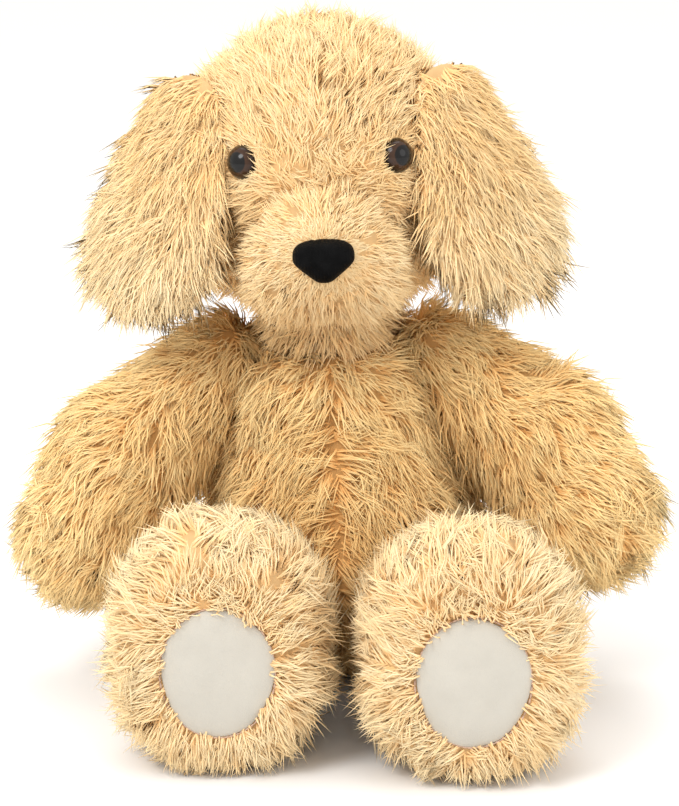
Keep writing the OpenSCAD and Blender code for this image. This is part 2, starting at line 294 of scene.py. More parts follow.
def star_grid(distance, centre, pole, rows, cols, reach):
    """Closed surface round a centre: for each direction (latitude, longitude) about the pole
    axis, the distance rule's zero is found by halving between the centre and reach.
    """
    pole = np.array(pole, float) / np.linalg.norm(pole)
    helper = np.array([0.0, 1.0, 0.0]) if abs(pole[1]) < 0.9 else np.array([1.0, 0.0, 0.0])
    across = np.cross(helper, pole)
    across /= np.linalg.norm(across)
    third = np.cross(pole, across)
    latitude = np.linspace(0, math.pi, rows + 2)[:, None]
    longitude = np.linspace(0, 2 * math.pi, cols, endpoint=False)[None, :]
    ways = (np.cos(latitude)[..., None] * pole
            + (np.sin(latitude) * np.cos(longitude))[..., None] * across
            + (np.sin(latitude) * np.sin(longitude))[..., None] * third)
    near = np.zeros(ways.shape[:2])
    far = np.full(ways.shape[:2], reach)
    for _ in range(HALVINGS):
        middle = (near + far) / 2
        inside = distance(centre + ways * middle[..., None]) < 0
        near = np.where(inside, middle, near)
        far = np.where(inside, far, middle)
    return centre + ways * near[..., None]


def grid_mesh(grid):
    """Points, quads and triangles of a closed grid whose first and last rows are poles."""
    rows, cols = grid.shape[0] - 2, grid.shape[1]
    points = np.concatenate([grid[:1, 0], grid[1:-1].reshape(-1, 3), grid[-1:, 0]])
    index = 1 + np.arange(rows * cols).reshape(rows, cols)
    right = np.roll(index, -1, 1)
    quads = np.stack([index[:-1], index[1:], right[1:], right[:-1]], -1).reshape(-1, 4)
    top = np.stack([np.zeros(cols, int), index[0], right[0]], -1)
    last = len(points) - 1
    bottom = np.stack([right[-1], index[-1], np.full(cols, last)], -1)
    return points, quads, np.concatenate([top, bottom])


def facing_out(points, quads, tris):
    """Turns every face round if the closed surface's volume comes out negative."""
    soup = np.concatenate([tris, quads[:, :3], quads[:, [0, 2, 3]]])
    a, b, c = (points[soup[:, i]] for i in range(3))
    if (a * np.cross(b, c)).sum() < 0:
        return quads[:, ::-1], tris[:, ::-1]
    return quads, tris


def closed_form(grid):
    """Points, quads and triangles of a closed grid, facing outwards."""
    points, quads, tris = grid_mesh(grid)
    return points, *facing_out(points, quads, tris)


def new_piece(name, points, quads, tris, uv=None):
    """A smooth mesh object from arrays; uv holds one pair for each corner, quads first."""
    mesh = bpy.data.meshes.new(name)
    loops = np.concatenate([quads.ravel(), tris.ravel()]).astype(np.int32)
    sizes = np.concatenate([np.full(len(quads), 4), np.full(len(tris), 3)]).astype(np.int32)
    starts = np.concatenate([[0], np.cumsum(sizes)[:-1]]).astype(np.int32)
    mesh.vertices.add(len(points))
    mesh.vertices.foreach_set("co", points.astype(np.float32).ravel())
    mesh.loops.add(len(loops))
    mesh.loops.foreach_set("vertex_index", loops)
    mesh.polygons.add(len(sizes))
    mesh.polygons.foreach_set("loop_start", starts)
    mesh.polygons.foreach_set("use_smooth", np.ones(len(sizes), bool))
    mesh.update(calc_edges=True)
    if uv is not None:
        layer = mesh.uv_layers.new(name=STRAND_MAP)
        layer.data.foreach_set("uv", uv.astype(np.float32).ravel())
    mesh.validate()
    piece = bpy.data.objects.new(name, mesh)
    bpy.context.scene.collection.objects.link(piece)
    return piece


def declare(piece, body, material, node):
    """Gives a piece its material and says what it is made of, replaces and rides on."""
    piece.data.materials.append(material)
    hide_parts(node)
    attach(piece, body)


def padded_piece(name, grid, body, material, node):
    """Makes and declares a padded piece from a closed grid."""
    piece = new_piece(name, *closed_form(grid))
    declare(piece, body, material, node)


# ---------------------------------------------------------------- pile

def scatter(grid, number, rng, weight=None):
    """Random points of a grid's surface, even by area times weight, with outward normals."""
    points, quads, tris = closed_form(grid)
    soup = np.concatenate([tris, quads[:, :3], quads[:, [0, 2, 3]]])
    a, b, c = (points[soup[:, i]] for i in range(3))
    cross = np.cross(b - a, c - a)
    area = np.linalg.norm(cross, axis=1)
    normal = unit(cross)
    at_corner = np.zeros_like(points)
    for i in range(3):
        np.add.at(at_corner, soup[:, i], cross)
    at_corner = unit(at_corner)
    share = area if weight is None else area * weight((a + b + c) / 3, normal)
    total = np.cumsum(share)
    even = (np.arange(number) + rng.uniform(size=number)) / number * total[-1]
    pick = np.searchsorted(total, even).clip(0, len(soup) - 1)
    u, v = rng.uniform(size=(2, number))
    flip = u + v > 1
    u, v = np.where(flip, 1 - u, u)[:, None], np.where(flip, 1 - v, v)[:, None]
    where = a[pick] + u * (b - a)[pick] + v * (c - a)[pick]
    out = [at_corner[soup[pick, i]] for i in range(3)]
    return where, unit(out[0] * (1 - u - v) + out[1] * u + out[2] * v)


PER_TUFT = 11
TUFT_PULL = 0.72
ROOT_DEPTH = 1.2 * MM
FLOOR_GAP = 0.6 * MM
DROOP = 0.22
MESS_SPREAD = 0.55
LIFT_SPREAD = 0.14
TUFT_LENGTH_SPREAD = 0.17
STRAND_LENGTH_SPREAD = 0.16
STRAY = 0.11
TUFT_SHADE_SPREAD = 0.10
STRAND_SHADE_SPREAD = 0.03
ROOT_GIRTH, BEND_GIRTH = 1.6, 0.9
SOFTNESS = 0.92
CHART_STEP = 0.014
CHART_ROOT, CHART_BEND, CHART_TIP = 0.02, 0.5, 0.98


def pile(name, body, grid, number, length, comb, tone, material, seed,
         weight=None, keep=None, lift=0.45, width=None, spread=None, mess=0.5):
    """Tufts of strands on a grid. comb(points, normals) is the flow, length(points) the
    strand length, tone(points) runs from 0, deep, to 1, pale, and lift, a value or a rule of
    the points, is how far a strand stands up. Each tuft's middle line leaves the skin between
    the normal and the flow and bends towards the flow:
    p(s) = root + length * (start * (s - s^2 / 2) + end * s^2 / 2), and its strands close in on
    that line by the pull towards their tips. A strand has three sides, one bend and a point.
    Its shading normals lean to the skin's, so that no side of it turns black.
    """
    sizes = bpy.context.scene.dog_sizes
    width = width or sizes.strand_width
    spread = spread or sizes.tuft_spread
    rng = np.random.default_rng(seed)
    tufts = int(number * sizes.density / PER_TUFT)
    roots, normals = scatter(grid, tufts, rng, weight)
    if keep is not None:
        wanted = keep(roots)
        roots, normals = roots[wanted], normals[wanted]
    count = len(roots)
    flow = comb(roots, normals) + mess * rng.normal(size=(count, 3)) * MESS_SPREAD
    flow = unit(along_surface(flow, normals))
    stand = lift(roots)[:, None] if callable(lift) else lift
    rise = np.clip(stand + LIFT_SPREAD * rng.normal(size=(count, 1)), 0.12, 0.95)
    start = unit(normals * (rise + 0.25) + flow * (1 - rise))
    end = unit(normals * rise * 0.35 + flow + np.array([0, 0, -DROOP]))
    vary = 0.86 + TUFT_LENGTH_SPREAD * rng.normal(size=(count, 1))
    long = length(roots)[:, None] * vary.clip(0.5, 1.25)
    shade = tone(roots) + TUFT_SHADE_SPREAD * rng.normal(size=count)
    turn = rng.uniform(0, 2 * math.pi, (count, PER_TUFT))
    apart = spread * np.sqrt(rng.uniform(0, 1, (count, PER_TUFT)))
    side = unit(np.cross(normals, flow))
    offset = (apart * np.cos(turn))[..., None] * side[:, None] \
        + (apart * np.sin(turn))[..., None] * flow[:, None]
    vary = 1 + STRAND_LENGTH_SPREAD * rng.normal(size=(count, PER_TUFT, 1))
    each = long[:, None] * vary.clip(0.55, 1.3)
    stray = rng.normal(size=(count, PER_TUFT, 3)) * STRAY
    each_start = unit(start[:, None] + stray)
    each_end = unit(end[:, None] + stray * 1.5)
    lines = []
    for s in (0.0, 0.5, 1.0):
        line = roots[:, None] - normals[:, None] * ROOT_DEPTH + offset * (1 - TUFT_PULL * s) \
            + each * (each_start * (s - s * s / 2) + each_end * s * s / 2)
        lines.append(line.reshape(-1, 3))
    strands = len(lines[0])
    girth = width * rng.uniform(0.75, 1.25, (strands, 1))
    spin = rng.uniform(0, 2 * math.pi, (strands, 1))
    rings, faces_to = [], []
    outward = np.repeat(normals, PER_TUFT, 0)
    for step, share in enumerate((ROOT_GIRTH, BEND_GIRTH)):
        ahead = unit(lines[step + 1] - lines[step])
        one = unit(np.cross(ahead, np.array([0.31, 0.17, 0.93])))
        two = np.cross(ahead, one)
        for corner in range(3):
            angle = spin + corner * 2 * math.pi / 3
            spoke = np.cos(angle) * one + np.sin(angle) * two
            rings.append(lines[step] + 0.5 * girth * share * spoke)
            faces_to.append(unit(spoke + SOFTNESS * outward))
    rings.append(lines[2])
    faces_to.append(outward)
    points = np.stack(rings, 1)
    points[..., 2] = np.maximum(points[..., 2], FLOOR_GAP)
    first = 7 * np.arange(strands)[:, None]
    quads = np.concatenate([first + np.array([[i, (i + 1) % 3, 3 + (i + 1) % 3, 3 + i]])
                            for i in range(3)], 1).reshape(-1, 4)
    caps = np.array([[3, 4, 6], [4, 5, 6], [5, 3, 6], [2, 1, 0]])
    tris = (first[:, None] + caps[None]).reshape(-1, 3)
    shade = np.repeat(shade, PER_TUFT) + STRAND_SHADE_SPREAD * rng.normal(size=strands)
    across = np.clip(shade, 0.02, 0.96)[:, None] + CHART_STEP * np.array([[0, 1, 2, 0, 1, 2, 1]])
    heights = np.array([[CHART_ROOT] * 3 + [CHART_BEND] * 3 + [CHART_TIP]])
    up = np.broadcast_to(heights, across.shape)
    chart = np.stack([across, up], -1).reshape(-1, 2)
    corners = np.concatenate([quads.ravel(), tris.ravel()])
    piece = new_piece(name, points.reshape(-1, 3), quads, tris, chart[corners])
    piece.data.normals_split_custom_set_from_vertices(np.stack(faces_to, 1).reshape(-1, 3))
    piece.data.materials.append(material)
    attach(piece, body)


# ---------------------------------------------------------------- materials

def socket(group, name, kind, way, value=None):
    """Adds a named socket to a node group."""
    made = group.interface.new_socket(name=name, in_out=way, socket_type=kind)
    if value is not None:
        made.default_value = value
    return made


def mix_colour(nodes, links, factor, a, b, mode="MIX"):
    """A colour Mix node; each input is a socket or a value. Returns its output."""
    node = nodes.new("ShaderNodeMix")
    node.data_type = "RGBA"
    node.blend_type = mode
    for place, value in ((0, factor), (6, a), (7, b)):
        if isinstance(value, bpy.types.NodeSocket):
            links.new(value, node.inputs[place])
        else:
            node.inputs[place].default_value = value
    return node.outputs[2]


def solid(colour):
    """Three colour values with a full alpha."""
    return (*colour, 1.0)


def pile_colour_group():
    """Colour of a strand: its chart's height runs from the root, darker as painted shade deep in
    the pile, to the tip, and its chart's width from the deep to the pale tone of the cloth.
    """
    name = "pile colour"
    if name in bpy.data.node_groups:
        return bpy.data.node_groups[name]
    group = bpy.data.node_groups.new(name, "ShaderNodeTree")
    socket(group, "Root", "NodeSocketColor", "INPUT")
    socket(group, "Tip", "NodeSocketColor", "INPUT")
    socket(group, "Pale tip", "NodeSocketColor", "INPUT")
    socket(group, "Color", "NodeSocketColor", "OUTPUT")
    nodes, links = group.nodes, group.links
    entry = nodes.new("NodeGroupInput")
    leave = nodes.new("NodeGroupOutput")
    chart = nodes.new("ShaderNodeUVMap")
    chart.uv_map = STRAND_MAP
    split = nodes.new("ShaderNodeSeparateXYZ")
    links.new(chart.outputs["UV"], split.inputs[0])
    height = nodes.new("ShaderNodeMapRange")
    height.interpolation_type = "SMOOTHSTEP"
    height.inputs["From Min"].default_value = 0.0
    height.inputs["From Max"].default_value = 0.75
    links.new(split.outputs[1], height.inputs[0])
    tip = mix_colour(nodes, links, split.outputs[0], entry.outputs["Tip"],
                     entry.outputs["Pale tip"])
    # Painted shade: the strand darkens from tip to root for the shade deep in the pile.
    whole = mix_colour(nodes, links, height.outputs[0], entry.outputs["Root"], tip)
    links.new(whole, leave.inputs[0])
    return group


def new_material(name, roughness, **settings):
    """A material with its Principled shader's constants set."""
    material = bpy.data.materials.new(name)
    material.use_nodes = True
    shader = material.node_tree.nodes["Principled BSDF"]
    shader.inputs["Roughness"].default_value = roughness
    for key, value in settings.items():
        shader.inputs[key.replace("_", " ")].default_value = value
    return material, material.node_tree.nodes, material.node_tree.links, shader


def pile_material(name, root, tip, pale):
    """Standing pile: coloured along the strand, darker at the root as painted shade, soft and matte
    with a faint sheen.
    """
    if name in bpy.data.materials:
        return bpy.data.materials[name]
    material, nodes, links, shader = new_material(
        name, 0.8, Specular_IOR_Level=0.2)
    group = nodes.new("ShaderNodeGroup")
    group.node_tree = pile_colour_group()
    group.inputs["Root"].default_value = solid(root)
    group.inputs["Tip"].default_value = solid(tip)
    group.inputs["Pale tip"].default_value = solid(pale)
    links.new(group.outputs[0], shader.inputs["Base Color"])
    return material


def golden_pile():
    """Pile of torso, arms and tail."""
    c = bpy.context.scene.dog_colours
    return pile_material("golden pile", c.golden_root, c.golden_tip, (0.99, 0.77, 0.40))


def cream_pile():
    """Paler pile of head, ears, muzzle and feet."""
    c = bpy.context.scene.dog_colours
    return pile_material("cream pile", c.cream_root, c.cream_tip, (0.96, 0.80, 0.52))


def cloth_group():
    """Cloth relief: a cloudy change of tone and fine fibres, both read from Object
    coordinates. Puts out a tone between 0 and 1 and a height.
    """
    name = "cloth relief"
    if name in bpy.data.node_groups:
        return bpy.data.node_groups[name]
    group = bpy.data.node_groups.new(name, "ShaderNodeTree")
    socket(group, "Thread size", "NodeSocketFloat", "INPUT", 900.0)
    socket(group, "Cloud size", "NodeSocketFloat", "INPUT", 60.0)
    socket(group, "Tone", "NodeSocketFloat", "OUTPUT")
    socket(group, "Height", "NodeSocketFloat", "OUTPUT")
    nodes, links = group.nodes, group.links
    entry = nodes.new("NodeGroupInput")
    leave = nodes.new("NodeGroupOutput")
    place = nodes.new("ShaderNodeTexCoord")
    for size, detail, distortion, result in (("Cloud size", 4.0, 0.0, "Tone"),
                                             ("Thread size", 2.0, 0.6, "Height")):
        noise = nodes.new("ShaderNodeTexNoise")
        noise.inputs["Detail"].default_value = detail
        noise.inputs["Distortion"].default_value = distortion
        links.new(place.outputs["Object"], noise.inputs["Vector"])
        links.new(entry.outputs[size], noise.inputs["Scale"])
        links.new(noise.outputs[0], leave.inputs[result])
    return group


def cloth_material(name, deep, pale, roughness=0.9, thread=900.0, cloud=60.0, bump=0.35,
                   relief=0.0004, **settings):
    """Matte cloth whose colour drifts between two tones, with a fine fibre bump."""
    if name in bpy.data.materials:
        return bpy.data.materials[name]
    material, nodes, links, shader = new_material(name, roughness, **settings)
    group = nodes.new("ShaderNodeGroup")
    group.node_tree = cloth_group()
    group.inputs["Thread size"].default_value = thread
    group.inputs["Cloud size"].default_value = cloud
    spread = nodes.new("ShaderNodeMapRange")
    spread.inputs["From Min"].default_value = 0.3
    spread.inputs["From Max"].default_value = 0.7
    links.new(group.outputs["Tone"], spread.inputs[0])
    colour = mix_colour(nodes, links, spread.outputs[0], solid(deep), solid(pale))
    links.new(colour, shader.inputs["Base Color"])
    rise = nodes.new("ShaderNodeBump")
    rise.inputs["Strength"].default_value = bump
    rise.inputs["Distance"].default_value = relief
    links.new(group.outputs["Height"], rise.inputs["Height"])
    links.new(rise.outputs[0], shader.inputs["Normal"])
    return material


def shade_darkened_backing_material(tone):
    """Knitted backing cloth under the pile, darkened to 0.55 to 0.75 of the pile's root colour as
    painted shade, so that gaps between the strands read as shadow.
    """
    c = bpy.context.scene.dog_colours
    deep = c.golden_root if tone == "golden" else c.cream_root
    # Painted shade: the backing is darker than the pile's root, so that bare gaps look shadowed.
    return cloth_material(tone + " backing", tuple(0.55 * v for v in deep),
                          tuple(0.75 * v for v in deep))


def fill_material():
    """White fibre fill."""
    return cloth_material("fibre fill", (0.80, 0.80, 0.78), (0.95, 0.95, 0.93),
                          thread=420.0, cloud=120.0, bump=0.9, relief=0.0012,
                          Sheen_Weight=0.3)


def thread_material(name="sewing thread", deep=(0.40, 0.22, 0.09), pale=(0.62, 0.40, 0.20)):
    """Sewing thread with a slight gloss."""
    return cloth_material(name, deep, pale, roughness=0.6, thread=2400.0, cloud=500.0,
                          bump=0.6, relief=0.0002)


def dress(node, material):
    """Gives a carried-over CAD node its material."""
    piece = frame["nodes"][node]
    if piece.material_slots:
        for place in piece.material_slots:
            place.material = material
    else:
        piece.data.materials.append(material)


# ---------------------------------------------------------------- forms of the skins

ROOM = 0.5 * MM
TAIL_ROOT_R = 10 * MM
TAIL_MIDDLE_R = 9 * MM
TAIL_TIP_R = 7 * MM


def torso_hull(points, inset=0.0):
    """Pear of belly and chest, flat where it sits."""
    form = limb(points, BELLY, CHEST, BELLY_R - inset, CHEST_R - inset)
    return np.maximum(form, inset - points[..., 2])


def torso_rule(points, inset=0.0):
    """The torso's pear, hollowed for the neck and the limb roots."""
    form = torso_hull(points, inset)
    form = cut(form, ball(points, NECK, NECK_R + ROOM + inset), blend=2 * MM)
    for name, sign in SIDES:
        shoulder = PIN[name + "_arm_raise"]
        form = cut(form, limb(points, shoulder, elbow_middle(name, sign),
                              SHOULDER_R + ROOM + inset, ELBOW_R + ROOM + inset),
                   blend=3 * MM)
        hip = PIN[name + "_leg_splay"]
        form = cut(form, limb(points, hip, foot_middle(name),
                              HIP_R + ROOM + inset, FOOT_R + ROOM + inset),
                   blend=3 * MM)
    return cut(form, ball(points, PIN["tail_wag"], TAIL_ROOT_R + ROOM + inset), blend=2 * MM)


FLARE_AT = 0.57
NECK_SLIM_R = 22 * MM
NECK_FLARE_R = 37 * MM
JOWL = (20 * MM, -8 * MM, -26 * MM)
JOWL_R = 29 * MM
CHEEK = (12 * MM, 4 * MM, -9 * MM)
CHEEK_R = 20 * MM


def head_rule(points, inset=0.0):
    """Round head with a jowl on either side, and the slim neck under it."""
    flare = NECK + (HEAD - NECK) * FLARE_AT
    neck = np.minimum(ball(points, NECK, NECK_R - inset),
                      limb(points, NECK, flare, NECK_SLIM_R - inset, NECK_FLARE_R - inset))
    form = joined(neck, ball(points, HEAD, HEAD_R - inset), blend=8 * MM)
    for _, sign in SIDES:
        jowl = from_head(JOWL[0] * sign, *JOWL[1:])
        form = joined(form, ball(points, jowl, JOWL_R - inset), blend=6 * MM)
    return form


def muzzle_rule(points, inset=0.0):
    """Round muzzle with a fuller, lower bulge on either side that makes the chin."""
    form = ball(points, MUZZLE, MUZZLE_R - 1 * MM - inset)
    for _, sign in SIDES:
        cheek = MUZZLE + UPRIGHT @ np.array([CHEEK[0] * sign, *CHEEK[1:]])
        form = joined(form, ball(points, cheek, CHEEK_R - inset), blend=6 * MM)
    return form


def arm_rule(name, sign):
    """Arm: shoulder to elbow to paw, blended where the two lengths meet."""
    shoulder = PIN[name + "_arm_raise"]
    elbow = elbow_middle(name, sign)
    paw = paw_middle(name)

    def rule(points, inset=0.0):
        return joined(limb(points, shoulder, elbow, SHOULDER_R - inset, ELBOW_R - inset),
                      limb(points, elbow, paw, ELBOW_R - inset, PAW_R - 2 * MM - inset),
                      blend=8 * MM)
    return rule


def leg_rule(name):
    """Leg: hip to foot, a taller toe end, and a nearly flat sole."""
    hip = PIN[name + "_leg_splay"]
    foot = foot_middle(name)
    toe = foot + np.array([0, 0, 18 * MM])
    sole_y = pad_middle(name)[1]

    def rule(points, inset=0.0):
        form = limb(points, hip, foot, HIP_R - inset, FOOT_R - inset)
        form = joined(form, limb(points, foot, toe, FOOT_R - inset, FOOT_R - inset),
                      blend=6 * MM)
        form = cut(form, points[..., 1] - sole_y - inset, blend=4 * MM)
        return np.maximum(form, inset + 0.3 * MM - points[..., 2])
    return rule


def tail_rule(points, inset=0.0):
    """Short tail that bends up."""
    root = PIN["tail_wag"]
    middle = root + np.array([0, 26 * MM, 9 * MM])
    tip = root + np.array([0, 42 * MM, 29 * MM])
    return joined(limb(points, root, middle, TAIL_ROOT_R - inset, TAIL_MIDDLE_R - inset),
                  limb(points, middle, tip, TAIL_MIDDLE_R - inset, TAIL_TIP_R - inset),
                  blend=4 * MM)


def ear_frame(sign):
    """Corner, and directions across, out of and down an ear's flap."""
    def turn(axis, angle):
        return np.array(Matrix.Rotation(math.radians(angle), 3, axis))
    axes = turn("Z", -45) @ turn("Y", -18) @ turn("X", 12)
    flip = np.diag([sign, 1.0, 1.0])
    whole = UPRIGHT @ flip @ axes
    root = HEAD + UPRIGHT @ flip @ np.array([43 * MM, -17 * MM, 36 * MM])
    return root, whole[:, 1], whole[:, 0], -whole[:, 2]


EAR_LENGTH = 93 * MM
EAR_TOP_HALF = 20 * MM
EAR_FLARE = 10.5 * MM
EAR_BEND_R = 85 * MM


def ear_grid(sign, low, high, rows=48, cols=56):
    """Ear layer between two depths. Along its length v the half width grows by the flare and
    is closed by a round end at either side; the section, round angle a, is a flat oval that
    is bent about the bend radius.
    """
    root, across, out, down = ear_frame(sign)
    v = (1 - np.cos(np.linspace(0, math.pi, rows + 2))) / 2
    close = np.sqrt(np.clip(1 - np.abs(2 * v - 1) ** 5, 0, 1))
    half = (EAR_TOP_HALF + EAR_FLARE * soft_step(v, 0.05, 0.72)) * close
    a = np.linspace(0, 2 * math.pi, cols, endpoint=False)
    c, s = np.cos(a), np.sin(a)
    wide = half[:, None] * np.sign(c) * np.abs(c) ** 0.8
    middle, thick = (low + high) / 2, (high - low) / 2
    deep = middle + (thick * close)[:, None] * np.sign(s) * np.abs(s) ** 0.7
    radius = EAR_BEND_R + deep
    x = radius * np.sin(wide / EAR_BEND_R)
    y = radius * np.cos(wide / EAR_BEND_R) - EAR_BEND_R
    along = np.broadcast_to((v * EAR_LENGTH)[:, None], x.shape)
    return root + x[..., None] * across + y[..., None] * out + along[..., None] * down


EAR_ROOM = 0.8 * MM


def clear_of_head(grid):
    """Moves a grid's points out of the head's skin, with a little room."""
    gap = head_rule(grid) - EAR_ROOM
    push = unit(grid - HEAD)
    return grid + push * np.maximum(-gap, 0)[..., None]


def lumpy(grid, size, height, seed):
    """A grid pushed in and out along its own rays from its middle by smooth bumps."""
    middle = grid.mean((0, 1))
    return grid + unit(grid - middle) * (waves(grid, size, seed) * height)[..., None]


FORM_REACH = 0.2


def form_grid(rule, centre, pole, rows=66, cols=80, inset=0.0):
    """Closed grid of a distance rule."""
    return star_grid(lambda p: rule(p, inset), centre, pole, rows, cols, FORM_REACH)


def golden_skin(name, grid, body, node):
    """Padded skin of the body's cloth, in the backing darkened as painted shade."""
    padded_piece(name, grid, body, shade_darkened_backing_material("golden"), node)


def cream_skin(name, grid, body, node):
    """Padded skin of the head's and feet's cloth, or of one with the same backing, darkened as
    painted shade.
    """
    padded_piece(name, grid, body, shade_darkened_backing_material("cream"), node)


# ---------------------------------------------------------------- operators

class DOG_OT_stage(bpy.types.Operator):
    """Sets the camera, the pale floor and the soft studio light."""

    bl_idname = "dog.stage"
    bl_label = "Stage"

    def execute(self, context):
        """Camera 1.25 m away and 12 degrees up; floor; three soft lights; white world."""
        scene = context.scene
        scene.view_settings.view_transform = "Standard"
        scene.view_settings.exposure = 0.0
        world = bpy.data.worlds.new("studio")
        world.use_nodes = True
        colour, strength = world.node_tree.nodes["Background"].inputs[:2]
        colour.default_value = (1.0, 0.985, 0.96, 1.0)
        strength.default_value = 1.12
        scene.world = world
        self.camera(scene, away=1.25, rise=math.radians(12.0), lens=131.2)
        self.lights(scene)
        self.floor(half=8.0)
        return {"FINISHED"}

    def camera(self, scene, away, rise, lens):
        """Level-headed camera that looks at the dog's middle."""
        data = bpy.data.cameras.new("camera")
        data.sensor_width = 36.0
        data.lens = lens
        data.clip_end = 50.0
        camera = bpy.data.objects.new("camera", data)
        scene.collection.objects.link(camera)
        target = Vector((-0.002, 0.0, 0.112))
        camera.location = target + Vector((0, -math.cos(rise), math.sin(rise))) * away
        camera.rotation_euler = (math.pi / 2 - rise, 0, 0)
        scene.camera = camera

    def lights(self, scene):
        """Key light from the left, a weaker fill from the right and one from above."""
        aim_at = Vector((0, 0, 0.12))
        for name, place, size, power in (
                ("key", (-0.9, -1.2, 1.5), 0.9, 19.5),
                ("fill", (1.3, -1.0, 0.8), 1.2, 5.0),
                ("top", (0.0, 0.5, 1.7), 1.2, 6.5)):
            data = bpy.data.lights.new(name, "AREA")
            data.shape = "DISK"
            data.size = size
            data.energy = power
            light = bpy.data.objects.new(name, data)
            light.location = place
            aim = aim_at - Vector(place)
            light.rotation_euler = aim.to_track_quat("-Z", "Y").to_euler()
            scene.collection.objects.link(light)

    def floor(self, half):
        """Pale matte floor."""
        corners = half * np.array([[-1, -1, 0], [1, -1, 0], [1, 1, 0], [-1, 1, 0]])
        floor = new_piece("floor", corners, np.array([[0, 1, 2, 3]]), np.zeros((0, 3), int))
        material, nodes, links, shader = new_material("floor", 0.9, Specular_IOR_Level=0.1)
        shader.inputs["Base Color"].default_value = (0.90, 0.90, 0.90, 1.0)
        floor.data.materials.append(material)


class DOG_OT_torso(bpy.types.Operator):
    """Makes the torso's skin and its pile."""

    bl_idname = "dog.torso"
    bl_label = "Torso"

    def execute(self, context):
        """Pear-shaped skin; front and back pile parted down the middle of the chest."""
        sizes = context.scene.dog_sizes
        grid = form_grid(torso_rule, TORSO_MIDDLE, UP)
        golden_skin("torso_cloth", grid, "torso", "torso_skin")

        def comb(points, normals):
            from_middle = points[:, 0] + points[:, 2] * math.tan(LEAN)
            outward = np.sign(from_middle) * np.exp(-np.abs(from_middle) / (18 * MM)) + \
                from_middle / (60 * MM)
            down = np.stack([outward, np.zeros(len(points)), -np.ones(len(points))], -1)
            return down + gusts(points, 34 * MM, 11)

        def length(points):
            low = soft_step(points[:, 2], 0.0, 25 * MM)
            return sizes.body_pile * (0.55 + 0.45 * low) * (1 + 0.15 * waves(points, 22 * MM, 5))

        def tone(points):
            # Painted shade: the pile's tone is pulled deep round the low front between the legs,
            # where shade falls.
            crotch_painted_shade = np.exp(-(((points - [0, -50 * MM, 30 * MM]) / (34 * MM)) ** 2).sum(1))
            return 0.52 + 0.16 * waves(points, 30 * MM, 8) - 0.60 * crotch_painted_shade

        def weight(points, normals):
            return 0.35 + 0.65 * soft_step(points[:, 2], 4 * MM, 22 * MM)

        def in_open(points):
            gap = head_rule(points)
            for name, sign in SIDES:
                gap = np.minimum(gap, arm_rule(name, sign)(points))
                gap = np.minimum(gap, leg_rule(name)(points))
            return gap > 2.5 * MM

        for half, sign, number in (("front", -1, 38000), ("back", 1, 26000)):
            pile("torso_pile_" + half, "torso", grid, number, length,
                 comb, tone, golden_pile(), seed=100 + sign, weight=weight,
                 keep=lambda p, s=sign: ((p[:, 1] - TORSO_MIDDLE[1]) * s > 0) & in_open(p),
                 lift=0.40, mess=0.6)
        return {"FINISHED"}


class DOG_OT_head(bpy.types.Operator):
    """Makes the head's skin and its pile."""

    bl_idname = "dog.head"
    bl_label = "Head"

    def execute(self, context):
        """Round head; pile that spreads from the nose over the brow and stays off the eyes."""
        sizes = context.scene.dog_sizes
        grid = form_grid(head_rule, HEAD, UP)
        cream_skin("head_cloth", grid, "head", "head_skin")
        eyes = [eye_seat(sign) for _, sign in SIDES]

        def comb(points, normals):
            away = unit(points - NOSE)
            flow = away + np.array([0, 0.35, -0.15]) + 0.30 * gusts(points, 26 * MM, 21)
            for eye in eyes:
                off = points - eye
                near = np.exp(-((np.linalg.norm(off, axis=1) / (13 * MM)) ** 2))[:, None]
                flow = flow * (1 - 0.4 * near) + 0.7 * near * unit(off)
            return flow

        def length(points):
            face = soft_step(np.linalg.norm(points - NOSE, axis=1), 30 * MM, 80 * MM)
            long = sizes.head_pile * (0.72 + 0.28 * face) * (1 + 0.12 * waves(points, 20 * MM, 6))
            for eye in eyes:
                gap = np.linalg.norm(points - eye, axis=1)
                long = long * (0.42 + 0.58 * soft_step(gap, 7 * MM, 15 * MM))
            return long

        def keep(points):
            free = (muzzle_rule(points) > -4 * MM) & (torso_hull(points) > -2 * MM)
            for eye in eyes:
                free &= np.linalg.norm(points - eye, axis=1) > EYE_R - 0.4 * MM
            return free

        def tone(points):
            face = soft_step(points[:, 2], HEAD[2] - 30 * MM, HEAD[2] + 20 * MM)
            return 0.20 + 0.16 * face + 0.14 * waves(points, 28 * MM, 9)

        def weight(points, normals):
            share = np.ones(len(points))
            for eye in eyes:
                share += 2.0 * (1 - soft_step(np.linalg.norm(points - eye, axis=1),
                                              9 * MM, 16 * MM))
            return share

        for half, sign, number in (("front", -1, 43000), ("back", 1, 26000)):
            pile("head_pile_" + half, "head", grid, number, length, comb,
                 tone, cream_pile(), seed=200 + sign, lift=0.42,
                 width=sizes.strand_width * (0.8 if sign < 0 else 1.0),
                 spread=sizes.tuft_spread * 0.85, weight=weight,
                 keep=lambda p, s=sign: keep(p) & ((p[:, 1] - HEAD[1]) * s > 0))
        return {"FINISHED"}


